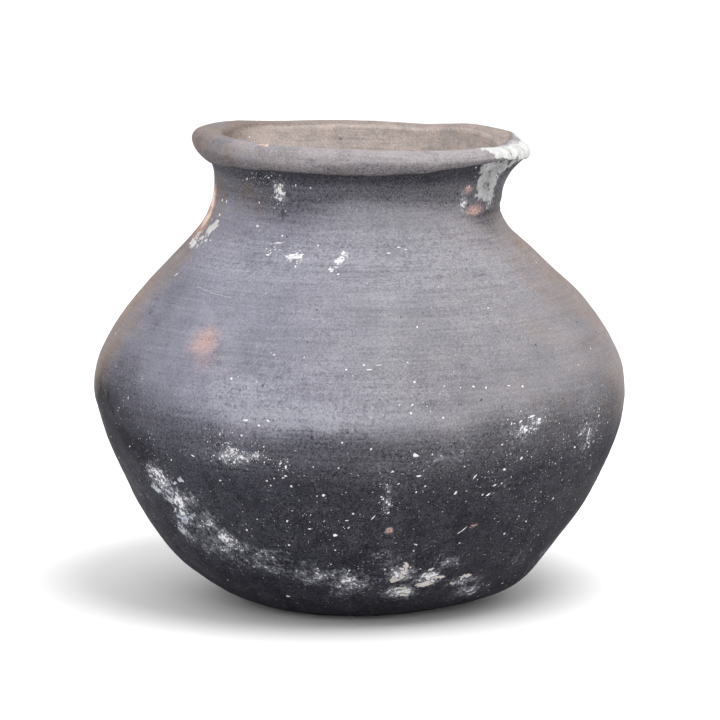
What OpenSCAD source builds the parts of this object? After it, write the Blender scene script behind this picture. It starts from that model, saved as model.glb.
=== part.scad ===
// A round-bodied, hand-built clay pot with a short neck and a thick out-turned lip.
// Millimetres. +Z is up, and the origin is the centre of the resting face.
// The wall is one smooth outline of arcs, cut into the clay sections it is luted together from.

/* [Base] */
// radius of the flat resting face
base_r = 54; // [50:1:58]
// thickness of the floor
floor_wall = 10; // [8:0.5:12]
// angle above level at which the wall leaves the resting face, degrees
lift = 13; // [11:0.5:15]

/* [Lower bowl] */
// radius of the round heel above the base
heel_r = 78; // [72:1:84]
// turn of the heel, degrees
heel_turn = 41.5; // [40:0.5:43]
// radius of the long flank above the heel
flank_r = 230; // [215:5:245]
// turn of the flank, degrees
flank_turn = 13.5; // [12:0.5:15]
// radius of the curve that leads into the widest band
haunch_r = 92; // [86:1:98]
// turn of that curve, degrees
haunch_turn = 16.5; // [15:0.5:18]

/* [Shoulder] */
// radius of the tight curve around the widest band
belly_r = 40; // [36:1:44]
// turn of the widest band, degrees
belly_turn = 31; // [29:0.5:33]
// radius of the upper shoulder
upper_r = 123; // [115:1:130]
// slope of the straight cone under the neck, degrees from level
cone_slope = 45; // [43:0.5:46]

/* [Neck] */
// outside radius of the neck at its narrowest
neck_r = 71.5; // [69:0.5:74]
// radius of the hollow curve at the foot of the neck
neck_fillet_r = 28; // [25:1:31]
// height of the upright collar above that curve
collar_h = 0.5; // [0.5:0.5:4]

/* [Rim] */
// lean of the rim towards +X, degrees
rim_lean = 2; // [0:0.5:3]
// radius of the outward flare between the neck and the lip
flare_r = 19.5; // [18:0.5:21]
// turn of the flare, degrees
flare_turn = 40; // [36:1:42]
// width of the ledge where the folded lip overhangs the flare
ledge_w = 1.2; // [0.8:0.2:2]
// radius of the lip's lower edge
lower_edge_r = 2.5; // [2:0.5:3]
// radius of the lip's bulging outer face
face_r = 15; // [14:1:18]
// radius of the lip's rounded top
top_r = 3.4; // [3:0.2:4.6]
// radius of the worn inner edge of the mouth
mouth_edge_r = 3; // [2:0.5:4]
// radius of the flare inside the throat
throat_flare_r = 78; // [70:2:90]

/* [Wall] */
// thickness of the wall above the heel
wall = 7.5; // [6.5:0.5:8.5]
// height over which the wall thins from the floor's thickness
thinning_h = 60; // [40:5:80]

/* [Deposits] */
// thickness of the crust on the lip
rim_crust_t = 1.2; // [0.6:0.1:1.6]
// thickness of the crusts on the neck and body
body_crust_t = 0.9; // [0.6:0.1:1.2]

/* [Hidden] */
$fn = 120;
walk_step = 3.5;        // spacing of the outline's corners along the wall
disc_turn = 6;          // part of the heel's turn that belongs to the base disc
lap = 2;                // how many corners a luted seam climbs on its way inwards
reach = 200;            // longer than any radius of the pot
rod_corners = 20;       // corners of a crust's outline

cone_heading = 180 - cone_slope;
upper_turn = cone_heading - lift - heel_turn - flank_turn - haunch_turn - belly_turn;

clay_dark = [0.13, 0.13, 0.15];
clay_grey = [0.30, 0.29, 0.31];
clay_brown = [0.33, 0.30, 0.28];
lime = [0.72, 0.73, 0.70];

// --- the outline ------------------------------------------------------------------------------
// A run is [radius, turn]: positive bulges outwards, negative is hollow, and [0, length] is straight.
function run_len(run) = run[0] == 0 ? run[1] : run[0] * run[1] * PI / 180;
function run_heading(heading, run, t) = run[0] == 0 ? heading : heading + t * run[1];
function run_point(start, heading, run, t) =
    run[0] == 0
    ? start + t * run[1] * [cos(heading), sin(heading)]
    : start + run[0] * [sin(heading + t * run[1]) - sin(heading), cos(heading) - cos(heading + t * run[1])];
function run_corners(run) = max(2, round(run_len(run) / walk_step));

// Corners of an outline as [radius, height, heading].
function walk(runs, start, heading, i = 0) =
    i == len(runs)
    ? [[start.x, start.y, heading]]
    : concat(
        [for (k = [0 : run_corners(runs[i]) - 1])
            let (t = k / run_corners(runs[i]),
                 p = run_point(start, heading, runs[i], t))
            [p.x, p.y, run_heading(heading, runs[i], t)]],
        walk(runs, run_point(start, heading, runs[i], 1), run_heading(heading, runs[i], 1), i + 1));

function corners_before(runs, n) = n == 0 ? 0 : run_corners(runs[n - 1]) + corners_before(runs, n - 1);

// Where the upper shoulder ends, which leaves the length of the straight cone down to the neck.
runs_to_cone = [[heel_r, disc_turn], [heel_r, heel_turn - disc_turn], [flank_r, flank_turn],
                [haunch_r, haunch_turn], [belly_r, belly_turn], [upper_r, upper_turn]];
to_cone = walk(runs_to_cone, [base_r, 0], lift);
cone_top_r = neck_r + neck_fillet_r * (1 - cos(cone_heading - 90));
cone_len = (to_cone[len(to_cone) - 1].x - cone_top_r) / cos(cone_slope);

runs = concat(runs_to_cone, [[0, cone_len], [-neck_fillet_r, 90 - cone_heading], [0, collar_h]]);
outside = walk(runs, [base_r, 0], lift);
last = len(outside) - 1;
joint_z = outside[last].y;

function wall_at(z) = wall + (floor_wall - wall) * max(0, 1 - z / thinning_h);
function pushed(corner, d) = [corner.x + d * sin(corner.z), corner.y - d * cos(corner.z)];
function outer_corner(i) = pushed(outside[i], 0);
function inner_corner(i) = pushed(outside[min(i, last)], -wall_at(outside[min(i, last)].y));

// Wall between two corners. Both seams slant: each starts lap corners higher on the inside.
function wall_section(from, to) = concat(
    [for (i = [from : to]) outer_corner(i)],
    [for (i = [to + lap : -1 : from + lap]) inner_corner(i)]);

disc_end = corners_before(runs, 1);
bowl_end = corners_before(runs, 4);
shoulder_end = corners_before(runs, 7);

// --- the lip, in its own frame, with its foot at the height 0 ------------------------------------
throat_r = neck_r - wall;
ledge_heading = 10;
face_heading = 45;
flare_outside = walk([[-flare_r, -flare_turn]], [neck_r, 0], 90);
crease = flare_outside[len(flare_outside) - 1];
band_outside = walk(
    [[0, ledge_w], [lower_edge_r, face_heading - ledge_heading], [face_r, 90 - face_heading], [top_r, 90]],
    [crease.x, crease.y], ledge_heading);
lip_top = band_outside[len(band_outside) - 1].y;
lip_steps = 8;
// The mouth's edge rolls from level down into the flare of the throat.
mouth_angle = asin((lip_top - mouth_edge_r) / (throat_flare_r - mouth_edge_r));
mouth_centre = [throat_r + throat_flare_r - (throat_flare_r - mouth_edge_r) * cos(mouth_angle),
                lip_top - mouth_edge_r];
lip_section = concat(
    [for (i = [0 : len(flare_outside) - 2]) pushed(flare_outside[i], 0)],
    [for (corner = band_outside) pushed(corner, 0)],
    [for (k = [0 : lip_steps])
        let (a = 90 + k / lip_steps * (90 - mouth_angle))
        mouth_centre + mouth_edge_r * [cos(a), sin(a)]],
    [for (k = [1 : lip_steps])
        let (a = mouth_angle * (1 - k / lip_steps))
        [throat_r + throat_flare_r * (1 - cos(a)), throat_flare_r * sin(a)]]);

module leaned() {
    translate([0, 0, joint_z])
        rotate([0, rim_lean, 0])
            children();
}

// --- clay sections ------------------------------------------------------------------------------
module base_disc() {
    color(clay_dark)
        rotate_extrude()
            polygon(concat(
                [[0, 0]],
                [for (i = [0 : disc_end]) outer_corner(i)],
                [for (i = [disc_end + lap : -1 : 0]) inner_corner(i)],
                [[0, inner_corner(0).y]]));
}

module lower_bowl() {
    color(clay_dark)
        rotate_extrude()
            polygon(wall_section(disc_end, bowl_end));
}

module shoulder() {
    color(clay_grey)
        rotate_extrude()
            polygon(wall_section(bowl_end, shoulder_end));
}

// The neck ends in a flat ring that leans with the rim.
module neck() {
    over = neck_r * tan(rim_lean) + 1;
    color(clay_brown)
        difference() {
            rotate_extrude()
                polygon(concat(
                    [for (i = [shoulder_end : last]) outer_corner(i)],
                    [[neck_r, joint_z + over], [throat_r, joint_z + over]],
                    [for (i = [last : -1 : shoulder_end + lap]) inner_corner(i)]));
            leaned()
                translate([-reach, -reach, 0])
                    cube([2 * reach, 2 * reach, reach]);
        }
}

module rim() {
    color(clay_grey)
        leaned()
            rotate_extrude()
                polygon(lip_section);
}

// --- deposits -----------------------------------------------------------------------------------
// A skin of even thickness on the outside of the wall.
module skin(from, to, thickness) {
    rotate_extrude()
        polygon(concat(
            [for (i = [from : to]) outer_corner(i)],
            [for (i = [to : -1 : from]) pushed(outside[i], thickness)]));
}

// The same on a stretch of the lip's outside, in the lip's frame.
module lip_skin(stretch, thickness) {
    rotate_extrude()
        polygon(concat(
            [for (corner = stretch) pushed(corner, 0)],
            [for (i = [len(stretch) - 1 : -1 : 0]) pushed(stretch[i], thickness)]));
}

// A ragged rod pointing out from the pot's axis at one azimuth and height. The slant tips its outline over.
module ragged_rod(azimuth, z, half_w, half_h, slant, phase) {
    ragged = [for (k = [0 : rod_corners - 1])
        let (a = 360 * k / rod_corners,
             swell = 1 + 0.16 * sin(3 * a + phase) + 0.09 * sin(5 * a + 2 * phase))
        [half_h * swell * sin(a), half_w * swell * cos(a)]];
    rotate([0, 0, azimuth])
        translate([0, 0, z])
            rotate([slant, 0, 0])
                rotate([0, 90, 0])
                    linear_extrude(height = reach)
                        polygon(ragged);
}

module rim_crust() {
    color(lime)
        leaned()
            intersection() {
                lip_skin(band_outside, rim_crust_t);
                ragged_rod(-25, lip_top - 6, 25, 6, 0, 40);
            }
}

module neck_crust() {
    color(lime)
        leaned()
            intersection() {
                lip_skin(flare_outside, body_crust_t);
                ragged_rod(-26, 6, 10, 5.5, 0, 200);
            }
}

module shoulder_crust() {
    color(lime)
        intersection() {
            skin(bowl_end, shoulder_end, body_crust_t);
            ragged_rod(-159, 183, 11, 5.5, 0, 130);
        }
}

module belly_crust() {
    color(lime)
        intersection() {
            skin(disc_end, bowl_end, body_crust_t);
            ragged_rod(-139.5, 60, 17, 7.5, -38, 80);
        }
}

module base_crust() {
    color(lime)
        intersection() {
            skin(disc_end, bowl_end, body_crust_t);
            ragged_rod(-72, 24, 14, 6, 8, 300);
        }
}

base_disc();
lower_bowl();
shoulder();
neck();
rim();
rim_crust();
neck_crust();
shoulder_crust();
belly_crust();
base_crust();
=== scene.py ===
"""The looks of a hand-built, smoke-blackened clay pot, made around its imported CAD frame.

The wall is one surface, given by a bearing round the pot and a distance along its outline. Each clay
section is a closed mesh cut from that surface, so neighbours share their seams exactly. A bearing is in
degrees from the front (-Y), positive towards +X. Lengths are in millimetres until a mesh is written.
"""

import math

import bmesh
import bpy
import numpy as np
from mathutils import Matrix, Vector


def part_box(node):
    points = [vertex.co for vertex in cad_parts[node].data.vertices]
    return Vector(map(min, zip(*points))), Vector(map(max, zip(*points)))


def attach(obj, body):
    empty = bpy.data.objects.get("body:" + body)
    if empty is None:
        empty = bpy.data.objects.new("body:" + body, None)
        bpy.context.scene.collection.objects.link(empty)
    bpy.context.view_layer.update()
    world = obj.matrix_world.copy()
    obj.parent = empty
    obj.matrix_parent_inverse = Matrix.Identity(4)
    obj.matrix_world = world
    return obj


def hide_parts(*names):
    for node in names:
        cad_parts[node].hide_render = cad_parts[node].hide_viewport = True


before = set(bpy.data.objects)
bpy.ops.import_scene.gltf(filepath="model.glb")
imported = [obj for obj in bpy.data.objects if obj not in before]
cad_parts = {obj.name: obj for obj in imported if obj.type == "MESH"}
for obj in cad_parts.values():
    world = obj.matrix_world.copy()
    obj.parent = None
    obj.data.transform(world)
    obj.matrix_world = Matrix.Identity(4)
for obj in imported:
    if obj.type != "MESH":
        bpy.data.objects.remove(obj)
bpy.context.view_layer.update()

MM = 0.001

# --- driving dimensions of the wall, the same as the CAD part's ---
BASE_R = 54
LIFT = 13
# Each run is (radius, turn in degrees). A negative radius is hollow.
BODY_RUNS = [(78, 41.5), (230, 13.5), (92, 16.5), (40, 31), (123, 19.5)]
CONE_HEADING = 135
NECK_R = 71.5
NECK_FILLET_R = 28
COLLAR_H = 0.5
WALL = 7.5
FLOOR_WALL = 10
THINNING_H = 60
RIM_LEAN = 2
LIP_TOP = 27.4
MOUTH_EDGE_R = 3

# How finely the wall is meshed, and the bearings of its columns, which start at the back.
COLUMNS = 640
BEARINGS = -180 + 360 * np.arange(COLUMNS) / COLUMNS
OUTSIDE_STEP = 1.15
INSIDE_STEP = 4


# --- small tools ---
def smooth(x, low, high):
    """0 below low, 1 above high, and a soft step between."""
    t = np.clip((np.asarray(x, float) - low) / (high - low), 0, 1)
    return t * t * (3 - 2 * t)


def bump_at(x, centre, width):
    """A soft hill of height 1 and the given half width."""
    return np.exp(-(((x - centre) / width) ** 2))


def hashed(i, j, k, seed):
    """A repeatable pseudo-random number from 0 to 1 for each lattice corner."""
    h = (i * 73856093) ^ (j * 19349663) ^ (k * 83492791) ^ (seed * 2654435761)
    h = (h ^ (h >> 13)) * 1274126177 & 0x7FFFFFFF
    return ((h ^ (h >> 16)) & 0xFFFF) / 65535.0


def noise(points, size, seed):
    """Smooth value noise from -1 to 1, with features of about that size."""
    place_in = np.asarray(points, float) / size
    cell = np.floor(place_in).astype(np.int64)
    part = place_in - cell
    part = part * part * (3 - 2 * part)
    total = 0
    for di in (0, 1):
        for dj in (0, 1):
            for dk in (0, 1):
                weight = np.where(di, part[..., 0], 1 - part[..., 0])
                weight = weight * np.where(dj, part[..., 1], 1 - part[..., 1])
                weight = weight * np.where(dk, part[..., 2], 1 - part[..., 2])
                corner = hashed(cell[..., 0] + di, cell[..., 1] + dj, cell[..., 2] + dk, seed)
                total = total + weight * corner
    return total * 2 - 1


def bearing_gap(bearing, centre):
    """Signed difference between two bearings, from -180 to 180."""
    return (np.asarray(bearing, float) - centre + 180) % 360 - 180


def facing(bearing, centre, width):
    """A soft hill of height 1 round the pot, about one bearing."""
    return bump_at(bearing_gap(bearing, centre), 0, width)


def degree_length(points):
    """Millimetres round the pot for one degree of bearing."""
    return np.hypot(points[..., 0], points[..., 1]) * math.pi / 180


def around(bearing, stops):
    """A value that varies smoothly round the pot through given (bearing, value) stops."""
    keys, values = np.array(stops, float).T
    keys = np.concatenate([keys - 360, keys, keys + 360])
    values = np.tile(values, 3)
    bearing = bearing_gap(bearing, 0)
    right = np.searchsorted(keys, bearing, side="right")
    t = (bearing - keys[right - 1]) / (keys[right] - keys[right - 1])
    t = t * t * (3 - 2 * t)
    return values[right - 1] * (1 - t) + values[right] * t


# --- the outline of the body ---
def walk(runs, start, heading, step=0.25):
    """Points and headings along runs of arcs. With radius 0 a run is straight, and its turn is a length."""
    points, headings = [np.array(start, float)], [heading]
    for radius, turn in runs:
        length = turn if radius == 0 else abs(radius * math.radians(turn))
        count = max(2, round(length / step))
        origin, first = points[-1], headings[-1]
        for k in range(1, count + 1):
            now = first if radius == 0 else first + math.copysign(turn, radius) * k / count
            a, b = math.radians(first), math.radians(now)
            if radius == 0:
                moved = k / count * length * np.array([math.cos(a), math.sin(a)])
            else:
                moved = radius * np.array([math.sin(b) - math.sin(a), math.cos(a) - math.cos(b)])
            points.append(origin + moved)
            headings.append(now)
    return np.array(points), np.array(headings)


def distances(points):
    """How far along a chain each of its points lies."""
    return np.concatenate([[0], np.cumsum(np.linalg.norm(np.diff(points, axis=0), axis=1))])


def body_outline():
    """The outside from the foot of the wall to the top of the neck: points, headings and distances."""
    to_cone, _ = walk(BODY_RUNS, (BASE_R, 0), LIFT)
    fillet_turn = CONE_HEADING - 90
    cone_top_r = NECK_R + NECK_FILLET_R * (1 - math.cos(math.radians(fillet_turn)))
    cone_len = (to_cone[-1][0] - cone_top_r) / math.cos(math.radians(180 - CONE_HEADING))
    runs = BODY_RUNS + [(0, cone_len), (-NECK_FILLET_R, fillet_turn), (0, COLLAR_H)]
    points, headings = walk(runs, (BASE_R, 0), LIFT)
    return points, headings, distances(points)


OUTLINE, HEADINGS, ALONG = body_outline()
NECK_TOP = ALONG[-1]
JOINT_Z = OUTLINE[-1][1]


def along_at_height(z):
    """Distance along the outline at which the outside reaches a height."""
    return float(np.interp(z, OUTLINE[:, 1], ALONG))


# Where the clay sections meet on the outside, read from the frame.
DISC_END = along_at_height(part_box("lower_bowl")[0].z / MM)
BOWL_END = along_at_height(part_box("shoulder")[0].z / MM)
SHOULDER_END = along_at_height(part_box("neck")[0].z / MM)
LAP = 7
# The hand-built neck and rim stand a little to the left of the body's middle.
NECK_DRIFT = 0.9


# --- relief: how far the real wall stands off the plain outline ---
# Chips and pits: (bearing, height, half width, depth).
PITS = [
    (12, 118, 1.6, 0.7), (14.5, 116.5, 1.8, 0.6), (17, 118.5, 1.4, 0.5), (21, 119, 2.2, 0.4),
    (7, 54, 2.4, 0.8), (2, 140, 1.2, 0.5), (59, 216, 2.0, 0.8), (-31, 199, 2.2, 0.6), (48, 209, 3.4, 0.7),
    (52, 198, 4.2, 0.6), (-80, 192, 5.0, 0.6), (110, 96, 2.5, 0.8), (150, 122, 3.0, 0.8),
    (-140, 84, 2.6, 0.7), (-115, 150, 2.2, 0.6), (175, 60, 3.2, 0.9), (-165, 170, 2.4, 0.6),
    (135, 40, 3.0, 0.9), (-100, 40, 2.5, 0.8),
]
GROOVE_Z = 196.5


def neck_groove(points):
    """Height of the groove round the foot of the neck, and how far it is pressed in, from 0 to 1."""
    return GROOVE_Z + 0.7 * noise(points, 40, 6), smooth(noise(points, 30, 7), -0.5, 0.4)


def relief(bearing, along, height, point):
    """Millimetres the outside of the body stands proud of the outline."""
    rad = np.radians(bearing)
    above_foot = smooth(along, 0, 14)
    below_neck = 1 - smooth(along, SHOULDER_END - 20, NECK_TOP)
    out_of_round = 0.35 * np.cos(2 * rad + 0.7) + 0.3 * np.cos(3 * rad - 1.9) + 0.2 * np.cos(5 * rad + 0.4)
    paddled = 0.38 * noise(point, 36, 1) + 0.16 * noise(point, 14, 2)
    wheel = np.stack([point[..., 0] / 55, point[..., 1] / 55, along / 2.6], -1)
    wiped = 0.055 * noise(wheel, 1, 3) + 0.045 * noise(wheel * [1, 1, 0.37], 1, 4)
    grain = 0.03 * noise(point, 3.2, 5)
    heel = 2.6 * facing(bearing, 72, 26) * bump_at(height, 12, 9)
    heel = heel - 0.9 * facing(bearing, -80, 30) * bump_at(height, 10, 9)
    side = 1.3 * facing(bearing, 85, 32) * smooth(height, 30, 52) * (1 - smooth(height, 88, 112))
    side = side - facing(bearing, -85, 30) * smooth(height, 46, 64) * (1 - smooth(height, 88, 108))
    side = side - 0.6 * facing(bearing, 90, 34) * smooth(height, 150, 168)
    belly_edge = 0.22 * smooth(height, 97, 101) * (1 - smooth(height, 101, 116))
    groove_z, pressed = neck_groove(point)
    groove = -0.6 * bump_at(height, groove_z, 0.9) * pressed
    groove = groove - 0.4 * bump_at(height, groove_z - 5.5, 1.2) * smooth(noise(point, 26, 8), -0.2, 0.5)
    total = (out_of_round + paddled * (0.3 + 0.7 * below_neck)) * above_foot
    total = total + (wiped + grain + groove + belly_edge + heel + side) * above_foot
    arm = degree_length(point)
    for pit_bearing, pit_height, half, depth in PITS:
        far = np.hypot(bearing_gap(bearing, pit_bearing) * arm, height - pit_height) / half
        total = total - depth * np.exp(-far ** 4)
    return total


def on_ring(radius, bearing, z):
    rad = np.radians(bearing)
    return np.stack([radius * np.sin(rad), -radius * np.cos(rad), z], -1)


def leaned(points, share):
    """Points turned about the middle of the rim's joint by a share of its lean."""
    a = np.radians(RIM_LEAN) * share
    x, z = points[..., 0], points[..., 2] - JOINT_Z
    turned = x * np.cos(a) + z * np.sin(a), points[..., 1], z * np.cos(a) - x * np.sin(a) + JOINT_Z
    return np.stack(turned, -1)


def wall_thickness(height):
    return WALL + (FLOOR_WALL - WALL) * np.clip(1 - height / THINNING_H, 0, 1)


def body_points(bearing, along, inside):
    """Points of the body and neck, outside or inside, for arrays of bearings and distances."""
    along = np.broadcast_to(along, np.shape(bearing))
    radius = np.interp(along, ALONG, OUTLINE[:, 0])
    height = np.interp(along, ALONG, OUTLINE[:, 1])
    heading = np.radians(np.interp(along, ALONG, HEADINGS))
    plain = on_ring(radius, bearing, height)
    if inside:
        uneven = 0.35 * noise(plain, 30, 21) + 0.2 * noise(plain, 9, 22)
        push = uneven * (1 - smooth(along, NECK_TOP - 8, NECK_TOP)) - wall_thickness(height)
    else:
        push = relief(bearing, along, height, plain) * (1 - smooth(along, NECK_TOP - 5, NECK_TOP))
        # The foot spreads a little at the front left.
        radius = radius + 3.6 * facing(bearing, -20, 42) * (1 - smooth(height, 0, 16))
    points = on_ring(radius + push * np.sin(heading), bearing, height - push * np.cos(heading))
    points[..., 0] -= NECK_DRIFT * smooth(along, SHOULDER_END - 50, SHOULDER_END - 15)
    return leaned(points, smooth(along, SHOULDER_END - 14, NECK_TOP))


# --- the lip ---
# The folded lower edge of the lip climbs from left to right. Stops are (bearing, millimetres).
CREASE_HEIGHT = [
    (-180, 15.5), (-130, 15), (-88, 12.6), (-60, 14), (-45, 14.9), (-27, 15.8), (0, 16.3), (20, 17.7),
    (35, 19.7), (48, 21), (60, 22.2), (75, 20.5), (90, 18.8), (130, 17),
]
# How far the lip's parts stand out from the neck, and the height of its widest place.
CREASE_REACH = [
    (-180, 4.8), (-130, 4.4), (-88, 3.2), (-45, 4), (0, 4.8), (35, 5.8), (60, 7.6), (75, 9.2), (90, 9.9),
    (130, 6.5),
]
LEDGE = [
    (-180, 1.6), (-130, 1.4), (-88, 0.9), (-45, 1.9), (0, 2.5), (35, 2.6), (60, 2.2), (75, 1.2), (90, 0.4),
    (130, 1.2),
]
LIP_REACH = [
    (-180, 11.8), (-130, 11.6), (-88, 11.9), (-45, 11.8), (0, 12), (45, 12.2), (70, 12.3), (90, 12.2),
    (130, 12.2),
]
WIDEST_AT = [
    (-180, 22.8), (-130, 23), (-88, 23.4), (-45, 23.2), (0, 22.8), (45, 23.4), (70, 23), (90, 22), (130, 23),
]
# How far the hand-made rim rises and dips from level.
RIM_SWAY = [
    (-180, -0.6), (-150, -1.3), (-118, 0.5), (-90, 0.5), (-60, 0.4), (-30, 0.5), (0, 0.8), (45, 0.5),
    (75, -0.2), (95, -0.2), (112, 1.2), (132, 2.0), (158, -0.7),
]
# Rings of the lip's mesh, from the neck outside, over the top, to the throat.
FLARE_ROWS, SHELF_ROWS, FACE_ROWS, CROWN_ROWS, LAND_ROWS, ROLL_ROWS, THROAT_ROWS = 16, 4, 14, 10, 7, 7, 20
CREASE_ROW = FLARE_ROWS
EDGE_ROW = CREASE_ROW + SHELF_ROWS
MOUTH_ROW = EDGE_ROW + FACE_ROWS + CROWN_ROWS + LAND_ROWS


def bezier(p0, p1, p2, p3, rows, to_the_end=False):
    """Rings along a curve. Its last point is left to the next curve, unless it goes to the end."""
    t = (np.arange(rows) / (rows - to_the_end))[:, None, None]
    return (1 - t) ** 3 * p0 + 3 * t * (1 - t) ** 2 * p1 + 3 * t ** 2 * (1 - t) * p2 + t ** 3 * p3


def lip_section(bearing):
    """Rings of (radius, height) round the lip, in its own frame."""
    def pair(r, z):
        return np.stack(np.broadcast_arrays(np.asarray(r, float), np.asarray(z, float) + 0 * bearing), -1)

    crease_z = around(bearing, CREASE_HEIGHT)
    crease_r = NECK_R + around(bearing, CREASE_REACH)
    ledge = around(bearing, LEDGE)
    widest_r = NECK_R + around(bearing, LIP_REACH)
    widest_z = around(bearing, WIDEST_AT)
    throat_r = NECK_R - WALL
    mouth_r = throat_r + 4.4
    foot = pair(NECK_R, 0)
    crease = pair(crease_r, crease_z)
    edge = pair(crease_r + ledge, crease_z - 0.35 * ledge)
    widest = pair(widest_r, widest_z)
    top = pair(widest_r - 5.5, LIP_TOP)
    mouth_out = pair(mouth_r + MOUTH_EDGE_R, LIP_TOP - 0.5)
    mouth_in = pair(mouth_r, LIP_TOP - MOUTH_EDGE_R - 0.8)
    throat = pair(throat_r, 0)
    up = pair(0, 1)
    out = pair(1, 0)
    # On the right the flare stays upright longer and then sweeps out.
    swept = facing(bearing, 92, 36)
    rise_first = pair(0, 5 + 5 * swept)
    turn_last = pair(2.3 + 1.8 * swept, 3.2 + 0.6 * swept)
    flare = bezier(foot, foot + rise_first, crease - turn_last, crease, FLARE_ROWS)
    shelf = bezier(crease, crease + 0.3 * (edge - crease), edge - 0.2 * out, edge, SHELF_ROWS)
    rise = (widest_z - crease_z + 0.35 * ledge)[:, None] * up
    face = bezier(edge, edge + 1.9 * out + 0.10 * rise, widest - 0.5 * rise, widest, FACE_ROWS)
    crown = bezier(widest, widest + 2.5 * up, top + 2.6 * out, top, CROWN_ROWS)
    land = bezier(top, top - 2 * out, mouth_out + 2 * out, mouth_out, LAND_ROWS)
    turned_down = mouth_in + 1.8 * up + 0.2 * out
    roll = bezier(mouth_out, mouth_out - 1.8 * out, turned_down, mouth_in, ROLL_ROWS)
    down = bezier(mouth_in, mouth_in - 8 * up - 0.9 * out, throat + 9 * up, throat, THROAT_ROWS, True)
    return np.concatenate([flare, shelf, face, crown, land, roll, down])


def rim_rings():
    """Rings of the rim as points. Its lumps fade out at the joint."""
    section = lip_section(BEARINGS)
    radius, height = section[..., 0], section[..., 1]
    wide = np.broadcast_to(BEARINGS, radius.shape)
    plain = on_ring(radius, wide, height + JOINT_Z)
    free = smooth(height, 1, 9)
    rad = np.radians(wide)
    swell = 0.35 * np.cos(2 * rad + 2.1) + 0.4 * np.cos(3 * rad + 0.5) + 0.25 * np.cos(7 * rad - 1.0)
    lumps = 0.55 * noise(plain, 24, 31) + 0.28 * noise(plain, 9, 32) + 0.07 * noise(plain, 3, 33)
    outer = smooth(radius, NECK_R - 2, NECK_R + 6)
    push = (swell * outer + lumps) * free
    sway = around(wide, RIM_SWAY) + 0.25 * noise(plain, 30, 34) + 0.12 * noise(plain, 6, 35)
    lift = sway * smooth(height, 12, 24)
    mouth_wear = 0.5 * noise(plain, 5, 36) * bump_at(radius, NECK_R - 1.5, 2.4) * smooth(height, 22, 27)
    points = on_ring(radius + push, wide, height + JOINT_Z + lift - np.abs(mouth_wear))
    points[..., 0] -= NECK_DRIFT
    return leaned(points, 1.0)


# --- stains and deposits, with painted shade and painted sheen ---
# Each spot is (bearing, height, half width, half height, strength), in degrees and millimetres.
LIME_SPOTS = [
    (-52, 71, 10, 9, 1.0), (-48, 63, 8, 7, 0.95), (-48, 54, 9, 7, 0.8), (-51, 46, 8, 8, 0.8),
    (-41, 52, 12, 9, 0.74), (-37, 42, 17, 10, 0.8), (-27, 35, 15, 8, 0.74), (-44, 60, 10, 8, 0.7),
    (-12, 29, 16, 7, 0.66), (-2, 25, 12, 6, 0.8), (-22, 139, 9, 7, 0.42), (-15, 131, 8, 5, 0.36),
    (-6, 17, 10, 4, 0.55), (12, 30, 7, 5, 1.0), (19.5, 26, 8, 5, 0.95), (13, 18, 8, 5, 0.95),
    (9, 38, 13, 7, 0.5), (24, 34, 9, 6, 0.6), (33, 22, 12, 3, 0.85), (38, 15, 8, 6, 0.85),
    (39, 106.5, 6, 3.6, 1.0), (-28, 90.5, 8, 5, 1.2), (-22, 91.3, 4.5, 2.0, 1.15),
    (-22, 180.3, 6, 2.4, 1.15), (-5.2, 182, 2.4, 2.4, 1.2), (-6.6, 179.4, 2.2, 2.4, 1.15),
    (-8.4, 176, 2.4, 2.2, 1.2), (36, 101, 11, 6, 0.62), (57, 95, 10, 15, 0.6), (6, 72, 2.6, 10, 0.62),
    (20, 93, 14, 9, 0.42), (32, 76, 8, 12, 0.42), (52, 30, 8, 6, 0.5), (-68, 186, 6, 4, 0.9),
    (-67, 181, 9, 3, 0.8), (63, 206, 7, 8, 0.95), (65, 214, 8, 6, 0.8), (45, 203, 3, 6, 0.9),
    (-32.5, 210, 4, 6, 0.95), (-14, 117, 20, 6, 0.42), (140, 60, 16, 10, 0.75), (118, 34, 18, 8, 0.7),
    (-130, 48, 18, 9, 0.75), (-160, 30, 16, 8, 0.7), (175, 88, 9, 7, 0.85), (-112, 76, 9, 10, 0.8),
    (95, 70, 12, 8, 0.6), (-95, 34, 15, 8, 0.7), (160, 172, 9, 4, 0.75), (-140, 128, 7, 5, 0.7),
    (120, 182, 6, 4, 0.85), (70, 26, 12, 7, 0.55),
]
# The first four haze spots, round the front of the belly's turn, are a painted sheen; the rest are a pale
# film.
HAZE_AND_SHEEN_SPOTS = [
    (-13, 112, 44, 9, 0.85), (-25, 120, 26, 11, 0.62), (-12, 128, 30, 12, 0.45), (3, 122, 30, 14, 0.30),
    (-20, 180, 70, 15, 0.5), (32, 177, 66, 15, 0.5), (-12, 150, 46, 20, 0.2), (30, 160, 30, 22, 0.3),
    (-30, 90, 20, 8, 0.35), (10, 84, 30, 12, 0.2), (-4, 60, 30, 14, 0.12), (150, 118, 40, 10, 0.45),
    (-120, 170, 30, 12, 0.4), (-77, 42, 12, 20, 0.3),
]
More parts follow.
